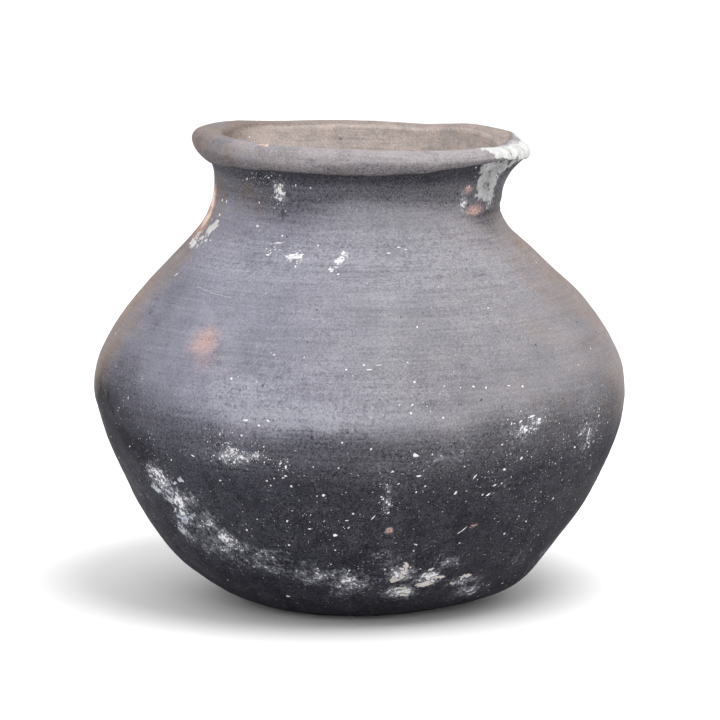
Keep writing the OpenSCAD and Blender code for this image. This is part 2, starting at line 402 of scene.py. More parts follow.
FLECK_SPOTS = [
    (-28, 91, 8, 5, 1.0), (-29.5, 98, 11, 5, 0.5), (-21.5, 93, 5, 4, 0.7), (-16, 87, 6, 4, 0.6),
    (57, 93, 13, 17, 0.6), (36, 103, 13, 6, 0.8), (6, 72, 3, 12, 0.6), (-32.5, 210, 5, 6, 1.0),
    (-40, 217, 14, 2, 0.5), (-7, 179, 4, 5, 0.5), (-21, 180.5, 6, 2.4, 0.7), (-30, 183.5, 7, 3, 0.35),
    (12, 84, 16, 12, 0.35), (28, 78, 16, 12, 0.45), (-10, 58, 14, 6, 0.35), (-52, 80, 12, 14, 0.3),
    (14, 117, 8, 4, 0.3), (-20, 126, 14, 6, 0.12), (0, 40, 40, 14, 0.25), (45, 60, 20, 16, 0.3),
    (130, 92, 20, 12, 0.6), (-150, 76, 22, 14, 0.6), (170, 58, 22, 12, 0.6), (-105, 96, 16, 9, 0.6),
    (100, 104, 14, 8, 0.5), (-170, 206, 12, 7, 0.5), (95, 190, 10, 6, 0.4), (62, 97, 7, 19, 0.55),
    (44, 86, 12, 18, 0.45), (34, 92, 10, 9, 0.3), (-60, 104, 12, 9, 0.3),
]
EMBER_SPOTS = [
    (-39, 141, 11, 9, 0.72), (-37, 135, 13, 11, 0.42), (-30.5, 129, 4.5, 3.5, 0.4), (-82, 146, 8, 22, 0.4),
    (-82, 199, 7, 8, 1.5), (-81, 190, 7, 7, 1.5), (-77, 184, 5, 5, 1.2), (47.5, 209.8, 4.8, 2.8, 0.78),
    (52.5, 199, 9, 3.2, 0.86), (55, 203.5, 3.5, 1.6, 0.5), (7, 54, 2, 1.8, 1.0), (28.5, 54, 2.4, 1.0, 0.9),
    (165, 138, 16, 12, 0.8), (-130, 112, 10, 8, 0.6), (105, 158, 9, 7, 0.7), (-165, 190, 5, 3, 0.8),
    (120, 62, 3, 2.4, 0.9), (82, 112, 8, 18, 0.3),
]
# Dark spots: in the pits they are painted shade, near the left and right edges seen from the front they are
# darker clay and painted shade, and elsewhere dark stains.
DARK_SPOTS = [
    (14.5, 117, 5, 2.4, 0.35), (21, 119, 3, 3, 0.28), (2, 142, 12, 9, 0.10), (-62, 148, 18, 22, 0.19),
    (-66, 124, 14, 16, 0.14), (-72, 100, 22, 16, 0.42), (80, 52, 22, 36, 0.30), (-62, 97, 10, 14, 0.20),
    (-55, 86, 9, 12, 0.14), (58, 215, 2.2, 2.2, 0.7), (-31, 199, 2.2, 1.4, 0.4), (18, 132, 34, 16, 0.18),
    (62, 150, 16, 26, 0.07), (140, 140, 26, 18, 0.3), (-150, 150, 30, 16, 0.3), (-110, 185, 20, 9, 0.25),
]
# Brown, less smoked clay: (bearing, share) stops round the pot, and spots.
BROWNING = [
    (-180, 0.5), (-150, 0.65), (-120, 0.8), (-84, 0.95), (-74, 0.62), (-62, 0.14), (-40, 0.02), (0, 0.04),
    (25, 0.16), (45, 0.24), (62, 0.36), (76, 0.58), (90, 0.74), (130, 0.55),
]
WARM_SPOTS = [
    (-76, 205, 22, 16, 0.55), (-48, 208, 26, 12, 0.42), (150, 150, 50, 24, 0.3), (-150, 120, 40, 16, 0.3),
    (18, 46, 22, 6, 0.2), (30, 165, 30, 14, 0.2),
]
# Where the blackening, smoke and painted shade, starts on the way down, and over what half height it fades
# in.
BREAK_HEIGHT = [
    (-180, 104), (-145, 108), (-112, 100), (-84, 106), (-72, 121), (-62, 126), (-46, 113), (-35, 105.5),
    (-24, 101.5), (-12, 101.5), (0, 103.2), (15, 104), (23, 105.5), (30, 108.5), (40, 109.5), (52, 113),
    (66, 115), (82, 98), (120, 104), (150, 97),
]
BREAK_FADE = [
    (-180, 10), (-120, 12), (-85, 12), (-62, 17), (-46, 12), (-30, 9), (-10, 7.5), (15, 8), (35, 10),
    (55, 13), (80, 15), (130, 10),
]
# The usual height of that break, and the height below which the clay is black there.
USUAL_BREAK = 101
BLACK_FROM = 97
# Bands of heights over which other stains, the painted shade under the lip and the darkening deep inside come
# or go.
PALER_LOW = (30, 84)
BROWN_RISE = (62, 100)
UPPER_NECK = (196, 204)
UNDER_LIP = (211, 217)
LIP_SMEAR = (216, 221)
DEEP_INSIDE = (20, 120)
# The darkening under the lip, part smoke and part painted shade, reaches down to this height.
NECK_SMOKE_AND_SHADE = [
    (-180, 200), (-120, 199), (-88, 202), (-60, 202), (-28, 199), (0, 204), (25, 203), (40, 200), (61, 189),
    (80, 194), (120, 199),
]
# How many rings above its lower edge the painted shade on the lip's underside reaches.
LIP_SHADE = [(-180, 8), (-90, 8), (-60, 9.5), (-45, 8.5), (-24, 6.5), (3, 11), (33, 9), (60, 9), (120, 8)]
# Single marks: (bearing, height, length, width, tilt in degrees).
MARKS = [
    (-24, 108.6, 3.4, 1.1, 0), (-19, 109, 2.8, 1.1, -20), (-21, 106.6, 1.6, 1.2, 0), (2, 133, 3.0, 0.8, 0),
    (4, 135, 4.0, 0.4, 8), (-3, 133, 1.1, 1.1, 0), (-28.5, 127, 1.6, 1.3, 0), (-27, 128, 1.2, 0.5, 30),
    (-19.5, 138.5, 1.5, 0.7, 30), (-12.5, 138, 1.1, 0.7, 60), (10.5, 136, 1.0, 0.9, 0),
    (14, 151, 0.8, 1.6, 0), (11.5, 93.2, 3.6, 2.2, -10), (25.5, 80.3, 3.6, 1.0, 55),
    (21.5, 72.4, 2.6, 1.4, 60), (30, 70, 2.8, 0.9, 35), (31, 74.7, 2.2, 1.1, 35), (32.5, 82.6, 1.8, 1.4, 0),
    (36.5, 87.4, 2.2, 1.0, 50), (12.5, 82.6, 2.6, 1.2, 0), (3, 61.5, 3.6, 0.6, 55), (26, 52.7, 4.4, 0.6, 50),
    (25, 51, 3.4, 0.5, 40), (18, 125, 0.9, 0.9, 0), (21.5, 124, 0.8, 0.8, 0), (24.5, 124, 1.5, 1.0, 0),
    (33, 123, 2.2, 0.7, -10), (36.5, 122, 1.6, 1.3, 0), (-24.5, 14, 3.0, 2.0, 0), (-41, 191.6, 2.2, 1.4, 0),
    (-29.5, 185.4, 6.0, 0.9, 6), (-31.5, 180.3, 2.6, 1.2, 0), (-22.5, 180.8, 5.4, 2.0, 10),
    (-19, 181.2, 3.0, 1.2, 20), (-14, 185.3, 1.3, 1.0, 0), (-28.5, 188.5, 1.2, 1.2, 0),
    (14.5, 185, 2.4, 0.8, 5), (10.5, 182.4, 2.2, 1.2, -8), (17, 184, 1.6, 0.7, 0), (-5, 182.3, 3.4, 1.9, 55),
    (-7, 178.8, 3.6, 1.5, 60), (-8.8, 175.6, 2.6, 1.8, 40), (-66, 193, 2.0, 1.8, 0),
    (-75, 181.5, 2.6, 1.0, 30), (-71, 181, 2.4, 1.0, 35), (-62.5, 182.4, 1.6, 1.2, 0),
    (57.5, 94.2, 5.2, 0.9, 75), (56, 99, 2.0, 0.6, 80), (53, 88, 1.5, 1.2, 0), (61, 101, 1.6, 1.0, 60),
    (38, 107.6, 4.2, 1.2, 12), (40, 105.6, 2.6, 1.6, 0), (35, 105.8, 2.0, 0.9, 30),
    (-47.5, 215.3, 1.0, 1.4, 0), (-36, 217, 1.0, 1.0, 0), (-24.5, 213.5, 0.8, 1.4, 0),
    (-18.5, 212.6, 1.0, 1.0, 0), (-42, 202.2, 1.2, 1.6, 0), (-67, 199.7, 1.2, 1.9, 0),
    (-63, 199.7, 1.2, 1.8, 0), (-8, 73, 1.9, 1.7, 0), (-15, 77, 1.2, 1.4, 50), (-66.3, 166.4, 3.6, 0.7, 62),
    (-32, 77, 1.4, 1.0, 0), (-38, 88, 2.8, 0.8, -15), (-45, 84, 1.4, 1.0, 60), (-12, 55, 2.4, 0.8, 0),
    (-6, 52, 2.6, 1.8, 0), (-3, 60, 2.0, 0.6, 8), (14, 46, 2.6, 0.7, -25), (45, 52, 1.2, 1.1, 0),
]
# A long fine scratch on the left of the shoulder, as (bearing, height) points, and a degree's length there.
SCRATCH_DEGREE = 2.2
SCRATCH = [(-52, 163.9), (-48.6, 163.3), (-45.4, 162.5), (-42.7, 162.0), (-39.6, 161.7), (-36.4, 161.2)]


def spots(spot_list, bearing, points, ripple):
    """The strongest of the soft spots at each point. Ripple bends their edges."""
    strongest = np.zeros(bearing.shape)
    for spot_bearing, spot_height, half_w, half_h, strength in spot_list:
        across = bearing_gap(bearing, spot_bearing) * degree_length(points) / half_w
        far = across ** 2 + ((points[..., 2] - spot_height) / half_h) ** 2
        strongest = np.maximum(strongest, strength * np.exp(-0.8 * far + ripple))
    return strongest


def stains_and_painted_light(points, along, inside, lip=0.0):
    """The clay material's masks: stains, deposits, painted shade and sheen. Points are in millimetres; lip is
    1 on the folded lip.
    """
    x, y, z = points[..., 0], points[..., 1], points[..., 2]
    bearing = np.degrees(np.arctan2(x, -y))
    ripple = 0.45 * noise(points, 6, 41) + 0.3 * noise(points, 2.6, 42)
    waver = 2.6 * noise(points, 34, 43) + 1.6 * noise(points, 11, 44)
    break_z = around(bearing, BREAK_HEIGHT) + waver
    fade = around(bearing, BREAK_FADE)
    deep = BLACK_FROM + 0.5 * (break_z - USUAL_BREAK)
    # Below the break the clay is blackened: part smoke, part painted shade on the downward-facing lower body,
    # deepening towards the foot.
    soot_and_shade = 0.62 * (1 - smooth(z, break_z - fade, break_z + fade))
    soot_and_shade = soot_and_shade + 0.27 * (1 - smooth(z, deep - 24, deep + 3)) + 0.05 * (1 - smooth(z, *PALER_LOW))
    # Under the lip the neck is darkened: part smoke, part painted shade under the overhanging lip, darkest
    # just below it.
    neck_low = around(bearing, NECK_SMOKE_AND_SHADE) + 0.6 * waver
    neck_smoke_and_shade = (0.56 - 0.10 * smooth(-bearing, 20, 60)) * smooth(z, neck_low - 6, neck_low + 7)
    neck_smoke_and_shade = neck_smoke_and_shade + 0.28 * smooth(z, *UNDER_LIP)
    groove_z, pressed = neck_groove(points)
    upper_neck = smooth(z, *UPPER_NECK)
    brushed = smooth(noise(points, 16, 47), 0, 1) * upper_neck
    # Painted shade lies in the pressed groove, and brushed streaks darken the upper neck.
    neck_smoke_and_shade = neck_smoke_and_shade + 0.22 * bump_at(z, groove_z, 0.9) * pressed + 0.10 * brushed
    soot_and_shade = np.maximum(soot_and_shade, neck_smoke_and_shade * (1 - lip))
    soot_and_shade = soot_and_shade + lip * 0.20 * facing(bearing, -84, 20)
    soot_and_shade = np.clip(soot_and_shade + spots(DARK_SPOTS, bearing, points, ripple), 0, 1)
    rim_lime = 0.9 * facing(bearing, 80, 22) * smooth(z, *LIP_SMEAR)
    lime = np.maximum(spots(LIME_SPOTS, bearing, points, ripple), rim_lime)
    fleck = 0.05 + 0.16 * smooth(104 - z, 0, 14) + spots(FLECK_SPOTS, bearing, points, ripple)
    brown = around(bearing, BROWNING) * smooth(z, *BROWN_RISE) * (1 + 0.35 * noise(points, 16, 46))
    brown = brown * (1 - 0.6 * upper_neck)
    brown = np.maximum(brown, spots(WARM_SPOTS, bearing, points, ripple))
    left_end = facing(bearing, -86, 34)
    brown = np.maximum(brown, lip * (0.20 + 0.66 * left_end))
    # Inside, the clay is darker towards the bottom.
    floor_dark = 0.06 + 0.25 * (1 - smooth(z, *DEEP_INSIDE))
    masks = {
        "soot_and_shade": np.where(inside, floor_dark, soot_and_shade),
        "lime": np.where(inside, 0.2 * np.clip(noise(points, 18, 45), 0, 1), lime),
        "haze_and_sheen": np.where(inside, 0.1, spots(HAZE_AND_SHEEN_SPOTS, bearing, points, 0.6 * ripple)),
        "fleck": np.where(inside, 0.1, np.clip(fleck, 0, 1)),
        "ember": np.where(inside, 0.0, spots(EMBER_SPOTS, bearing, points, 0.35 * ripple)),
        "warm": np.where(inside, 2.0, brown),
        "rolled": np.where(inside, 0.0, lip * (1 - 0.8 * left_end)),
    }
    wheel = np.stack([x, y, np.broadcast_to(along, z.shape)], -1)
    return masks, wheel


# --- meshes ---
def new_mesh(name, points, faces, values):
    """A smooth mesh from points in millimetres, with named values at its points."""
    mesh = bpy.data.meshes.new(name)
    mesh.from_pydata((np.asarray(points) * MM).tolist(), [], faces)
    mesh.polygons.foreach_set("use_smooth", np.ones(len(faces), bool))
    for key, numbers in values.items():
        attribute = mesh.attributes.new(key, "FLOAT", "POINT")
        attribute.data.foreach_set("value", np.asarray(numbers, np.float32).ravel())
    return mesh


def add_piece(name, mesh, node, material):
    """Links a finished mesh as a piece that stands for one CAD node."""
    mesh.materials.append(material)
    piece = bpy.data.objects.new(name, mesh)
    bpy.context.scene.collection.objects.link(piece)
    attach(piece, "root")
    if node:
        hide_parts(node)


def signed_volume(points, quads):
    a, b, c, d = (points[quads[:, i]] for i in range(4))
    first = np.einsum("ij,ij->i", a, np.cross(b, c))
    second = np.einsum("ij,ij->i", a, np.cross(c, d))
    return (first + second).sum()


def lay_out_uv(mesh, rings, face_rows, face_columns, corner_rows, corner_columns, fine_rows):
    """Unwraps a ring mesh: the fine rows as two strips of half a turn, the rest as one turn at half scale."""
    steps = np.linalg.norm(np.diff(rings, axis=0, append=rings[:1]), axis=2).mean(1)
    v_at = np.concatenate([[0], np.cumsum(steps)])
    first, last = fine_rows
    fine = ((face_rows >= first) & (face_rows < last))[:, None]
    far_half = (face_columns >= COLUMNS // 2)[:, None]
    fine_height = v_at[last] - v_at[first]
    coarse_height = (v_at[-1] - fine_height) / 2
    margin = 0.01 * (2 * fine_height + coarse_height)
    total = 2 * fine_height + coarse_height + 4 * margin
    u_fine = corner_columns / (COLUMNS // 2) - far_half
    v_fine = v_at[corner_rows] - v_at[first] + margin + (fine_height + margin) * far_half
    u_coarse = corner_columns / COLUMNS
    v_coarse = (v_at[corner_rows] - v_at[last] + np.where(corner_rows >= last, 0, v_at[-1])) / 2
    v_coarse = v_coarse + 2 * fine_height + 3 * margin
    u = np.where(fine, u_fine, u_coarse) * 0.98 + 0.01
    v = np.where(fine, v_fine, v_coarse) / total
    layer = mesh.uv_layers.new(name="OFBake")
    layer.data.foreach_set("uv", np.stack([u, v], -1).astype(np.float32).ravel())


def ring_mesh(name, rings, masks, wheel, sharp_rows, fine_rows):
    """A closed tube of rings. Rows run round the section and wrap, and columns run round the pot."""
    rows, columns = rings.shape[:2]
    r, c = (grid.ravel() for grid in np.meshgrid(np.arange(rows), np.arange(columns), indexing="ij"))
    corner_rows = np.stack([r, r, r + 1, r + 1], -1)
    corner_columns = np.stack([c, c + 1, c + 1, c], -1)
    quads = (corner_rows % rows) * columns + corner_columns % columns
    points = rings.reshape(-1, 3)
    if signed_volume(points, quads) < 0:
        quads, corner_rows, corner_columns = quads[:, ::-1], corner_rows[:, ::-1], corner_columns[:, ::-1]
    mesh = new_mesh(name, points, quads.tolist(), masks)
    lay_out_uv(mesh, rings, r, c, corner_rows, corner_columns, fine_rows)
    turned = mesh.attributes.new("wheel", "FLOAT_VECTOR", "POINT")
    turned.data.foreach_set("vector", np.asarray(wheel, np.float32).ravel())
    ends = np.zeros(len(mesh.edges) * 2, np.int64)
    mesh.edges.foreach_get("vertices", ends)
    edge_rows = ends.reshape(-1, 2) // columns
    on_sharp = np.isin(edge_rows[:, 0], sharp_rows) & (edge_rows[:, 0] == edge_rows[:, 1])
    sharp = mesh.attributes.new("sharp_edge", "BOOLEAN", "EDGE")
    sharp.data.foreach_set("value", on_sharp)
    return mesh


def spaced(start, end, step):
    return np.linspace(start, end, max(2, round(abs(end - start) / step)) + 1)


def seam(edge, next_edge):
    """Two rings that share out the way from one edge to the next."""
    return [edge * (1 - t) + next_edge * t for t in (1 / 3, 2 / 3)]


def wall_sides(outer_from, outer_to, inner_from, inner_to):
    """Distances and rings of the outside on the way up, and of the inside on the way down."""
    outer = spaced(outer_from, outer_to, OUTSIDE_STEP)
    inner = spaced(inner_to, inner_from, INSIDE_STEP)
    outside = [body_points(BEARINGS, along, False) for along in outer]
    inside = [body_points(BEARINGS, along, True) for along in inner]
    return outer, outside, inner, inside


def add_clay(name, rings, masks, wheel, corners, fine_rows, material):
    """Adds a clay section. Corners are the rows where its outline turns sharply."""
    mesh = ring_mesh(name, rings, masks, wheel, corners, fine_rows)
    add_piece(name + "_clay", mesh, name, material)


def clay_section(name, outer_from, outer_to, inner_from, inner_to, material):
    """A section of wall: rings up the outside, over the upper seam, down the inside and back underneath."""
    outer, outside, inner, inside = wall_sides(outer_from, outer_to, inner_from, inner_to)
    rings = np.array(outside + seam(outside[-1], inside[0]) + inside + seam(inside[-1], outside[0]))
    along = np.concatenate([outer, [outer[-1]] * 2, inner, [inner[-1]] * 2])
    last = len(outer) - 1
    is_inside = np.arange(len(rings)) > last
    masks, wheel = stains_and_painted_light(rings, along[:, None], is_inside[:, None])
    corners = [0, last, last + 3, last + 2 + len(inner)]
    add_clay(name, rings, masks, wheel, corners, (0, last), material)


def level_ring(radius, height):
    return on_ring(radius, BEARINGS, np.full(COLUMNS, height))


def base_disc(material):
    """The flattened disc: a flat resting face, the first bend of the wall, a seam and the floor inside."""
    centre_r, ring_step, dished = 0.4, 4, 0.35
    resting_r = spaced(centre_r, BASE_R - 1.5, ring_step)
    resting = [level_ring(radius, dished * (1 - radius / BASE_R) ** 0.5) for radius in resting_r]
    outer, outside, inner, inside = wall_sides(0, DISC_END, 0, DISC_END + LAP)
    floor = []
    floor_r = np.hypot(inside[-1][0][0], inside[-1][0][1])
    for radius in spaced(floor_r - ring_step, centre_r, ring_step):
        ring = level_ring(radius, FLOOR_WALL - 0.3)
        ring[:, 2] += 0.25 * noise(ring, 12, 23)
        floor.append(ring)
    rings = np.array(resting + outside + seam(outside[-1], inside[0]) + inside + floor)
    first, last = len(resting), len(resting) + len(outer) - 1
    along = np.concatenate([np.zeros(first), outer, [outer[-1]] * 2, inner, np.zeros(len(floor))])
    is_inside = np.arange(len(rings)) > last
    masks, wheel = stains_and_painted_light(rings, along[:, None], is_inside[:, None])
    add_clay("base_disc", rings, masks, wheel, [last, last + 3], (0, last), material)


def rim(material):
    """The lip, with a dark lower face in painted shade, a pale inside with painted shade on its crown, and
    chips along its front horizon.
    """
    rings = rim_rings()
    rings = np.concatenate([rings, np.array(seam(rings[-1], rings[0]))])
    along = NECK_TOP + distances(rings[:, 0])
    rows = np.arange(len(rings))[:, None] + np.zeros((1, COLUMNS))
    lip = smooth(rows, CREASE_ROW - 1.5, CREASE_ROW + 0.5)
    masks, wheel = stains_and_painted_light(rings, along[:, None], np.zeros(rings.shape[:2], bool), lip)
    bearing = np.degrees(np.arctan2(rings[..., 0], -rings[..., 1]))
    # The pale inside begins at the mouth in front, and on the crown at the sides and the back.
    behind = smooth(np.abs(bearing_gap(bearing, 15)), 62, 112)
    first_pale = MOUTH_ROW - 3 - 9 * behind
    inward = smooth(rows + 1.6 * noise(rings, 7, 37), first_pale, first_pale + 4)
    left_inside = facing(bearing, -95, 36)
    on_crown = 1 - smooth(rows, MOUTH_ROW + 1, MOUTH_ROW + 8)
    # On the crown the lining is browned as painted shade on its up-facing top.
    masks["warm"] = np.maximum(masks["warm"], (2 - 0.85 * left_inside - 0.62 * on_crown) * inward)
    # The lower face, which turns under, is darkened in steps, darkest along its edge: painted shade with some
    # smoke.
    ragged_rows = rows + 0.9 * noise(rings, 9, 40) + 0.5 * noise(rings, 2.5, 48)
    shade_row = EDGE_ROW + around(bearing, LIP_SHADE)
    lip_underside_shade = 0.40 * (1 - smooth(ragged_rows, shade_row, shade_row + 4))
    lip_underside_shade = lip_underside_shade + 0.14 * (1 - smooth(ragged_rows, shade_row - 6, shade_row + 1))
    lip_underside_shade = lip_underside_shade + 0.36 * (1 - smooth(ragged_rows, EDGE_ROW, EDGE_ROW + 4))
    mottled = 0.16 * smooth(noise(rings, 8, 49) + 0.6 * noise(rings, 2.8, 50), -0.1, 0.7) * lip
    masks["soot_and_shade"] = np.maximum(masks["soot_and_shade"] + mottled, lip_underside_shade * lip) * (1 - inward)
    # The lining is darkened a little, and more on the crown as painted shade on its up-facing top.
    masks["soot_and_shade"] = np.clip(masks["soot_and_shade"] + (0.03 + 0.10 * on_crown) * inward, 0, 1)
    masks["lime"] = masks["lime"] * (1 - 0.7 * inward)
    rarer = 0.12 + 0.9 * (1 - facing(bearing, -18, 34))
    chipped = smooth(noise(rings, 3.2, 38) + 0.5 * noise(rings, 1.3, 39) - rarer, 0.06, 0.3)
    masks["ember"] = np.maximum(masks["ember"], 1.35 * chipped * bump_at(rows, MOUTH_ROW - 9.5, 1.9))
    corners = [0, CREASE_ROW, len(rings) - 3]
    fine_rows = 0, MOUTH_ROW + ROLL_ROWS + 3
    add_clay("rim", rings, masks, wheel, corners, fine_rows, material)


# --- deposits that stand on the surface ---
class Skin:
    """The outside surface as a grid of rings, read at any bearing and distance along its outline."""

    def __init__(self, rings, along):
        self.rings = rings
        self.along = np.asarray(along, float)

    def points(self, bearing, along):
        column = (np.asarray(bearing, float) + 180) % 360 / 360 * COLUMNS
        row = np.interp(along, self.along, np.arange(len(self.along)))
        c0 = np.floor(column).astype(int)
        r0 = np.minimum(np.floor(row).astype(int), len(self.along) - 2)
        fc, fr = (column - c0)[..., None], (row - r0)[..., None]
        c0, c1 = c0 % COLUMNS, (c0 + 1) % COLUMNS
        low = self.rings[r0, c0] * (1 - fc) + self.rings[r0, c1] * fc
        high = self.rings[r0 + 1, c0] * (1 - fc) + self.rings[r0 + 1, c1] * fc
        return low * (1 - fr) + high * fr

    def raised(self, bearing, along, height):
        """Points that stand off the surface by a height, along its normal."""
        reach = 0.5
        here = self.points(bearing, along)
        arm = degree_length(here)
        across = self.points(bearing + reach / arm, along) - self.points(bearing - reach / arm, along)
        upward = self.points(bearing, along + reach) - self.points(bearing, along - reach)
        normal = np.cross(across, upward)
        normal = normal / np.maximum(np.linalg.norm(normal, axis=-1, keepdims=True), 1e-9)
        return here + normal * np.asarray(height, float)[..., None]


def body_skin():
    along = np.arange(0, NECK_TOP + 0.5, 1.0).clip(0, NECK_TOP)
    return Skin(np.array([body_points(BEARINGS, step, False) for step in along]), along)


def lip_skin():
    """The lip's outside, the mouth's edge and the first rings down the throat."""
    outer = rim_rings()[:MOUTH_ROW + ROLL_ROWS + 8]
    return Skin(outer, distances(outer[:, 0]))


def crust_mesh(name, skin, bearing_range, along_range, height_at, step=0.4, sink=0.5):
    """A closed lumpy crust. It ends where its height falls below the surface, so its outline is ragged."""
    middle = skin.points(np.array(sum(bearing_range) / 2), np.array(sum(along_range) / 2))
    bearings = np.arange(*bearing_range, step / degree_length(middle))
    bearing, along = np.meshgrid(bearings, np.arange(*along_range, step))
    height = height_at(bearing, along, skin.points(bearing, along))
    top = skin.raised(bearing, along, np.maximum(height, -0.25))
    bottom = skin.raised(bearing, along, np.full(height.shape, -sink))
    kept = np.maximum.reduce([height[:-1, :-1], height[1:, :-1], height[:-1, 1:], height[1:, 1:]]) > -0.05
    index = np.arange(height.size).reshape(height.shape)
    below = height.size
    r, c = np.nonzero(kept)
    tops = np.stack([index[r, c], index[r, c + 1], index[r + 1, c + 1], index[r + 1, c]], -1)
    faces = [tops, tops[:, ::-1] + below]
    # Walls close the crust where a kept square has no neighbour: (row step, column step, its two corners).
    padded = np.pad(kept, 1)
    for row_step, column_step, first, second in ((-1, 0, 0, 1), (0, 1, 1, 2), (1, 0, 2, 3), (0, -1, 3, 0)):
        open_side = ~padded[r + 1 + row_step, c + 1 + column_step]
        start, end = tops[open_side, first], tops[open_side, second]
        faces.append(np.stack([end, start, start + below, end + below], -1))
    faces = np.concatenate(faces)
    points = np.concatenate([top.reshape(-1, 3), bottom.reshape(-1, 3)])
    used = np.unique(faces)
    renumber = np.zeros(len(points), int)
    renumber[used] = np.arange(len(used))
    thickness = np.concatenate([height.ravel(), np.zeros(height.size)])[used]
    return new_mesh(name, points[used], renumber[faces].tolist(), {"thickness": thickness})


def ragged_height(islands, seed, thickness, grain):
    """Height of a deposit made of ragged islands, each (bearing, along, half width, half height)."""

    def height_at(bearing, along, plain):
        arm = degree_length(plain)
        body = np.full(bearing.shape, -9.0)
        for spot_bearing, spot_along, half_w, half_h in islands:
            across = bearing_gap(bearing, spot_bearing) * arm / half_w
            body = np.maximum(body, 1 - np.hypot(across, (along - spot_along) / half_h))
        rough = 0.5 * noise(plain, 4.4, seed) + 0.5 * noise(plain, 2.0, seed + 1)
        rough = rough + 0.42 * noise(plain, 1.1, seed + 2)
        shape = smooth(body + grain * rough, 0.12, 0.42)
        lumps = 0.75 + 0.3 * noise(plain, 2.6, seed + 3) + 0.22 * noise(plain, 1.0, seed + 4)
        return thickness * shape * lumps - 0.12 * (1 - shape)

    return height_at


def flake_mesh(name, marks, seed):
    """Tiny low domes with ragged outlines, one for each (bearing, height, length, width, tilt, rise)."""
    maker = np.random.default_rng(seed)
    points, faces, spokes = [], [], 9
    turn = np.linspace(0, 2 * math.pi, spokes, endpoint=False)
    for bearing, height, length, width, tilt, rise in marks:
        skin, along = place(bearing, height)
        ragged = 1 + 0.28 * maker.uniform(-1, 1, spokes)
        u = 0.5 * length * ragged * np.cos(turn)
        v = 0.5 * width * ragged * np.sin(turn)
        lean = math.radians(tilt)
        across, up = u * math.cos(lean) - v * math.sin(lean), u * math.sin(lean) + v * math.cos(lean)
        middle = np.array(float(bearing)), np.array(float(along))
        arm = degree_length(skin.points(*middle))
        start = len(points)
        for share, lift in ((1.0, -0.12), (0.8, 0.6 * rise), (0.4, rise)):
            lumpy = np.full(spokes, lift) + (0.25 * rise * maker.uniform(-1, 1, spokes) if lift > 0 else 0)
            points.extend(skin.raised(bearing + share * across / arm, along + share * up, lumpy))
        points.append(skin.raised(*middle, np.array(rise)))
        points.append(skin.raised(*middle, np.array(-0.3)))
        for k in range(spokes):
            n = (k + 1) % spokes
            for outer in (start, start + spokes):
                inner = outer + spokes
                faces.append((outer + k, outer + n, inner + n, inner + k))
            faces.append((start + 2 * spokes + k, start + 2 * spokes + n, start + 3 * spokes))
            faces.append((start + n, start + k, start + 3 * spokes + 1))
    one_flake = [0.0] * spokes + [0.2] * spokes + [0.5] * spokes + [0.5, 0.0]
    return new_mesh(name, points, faces, {"thickness": np.tile(one_flake, len(marks))})


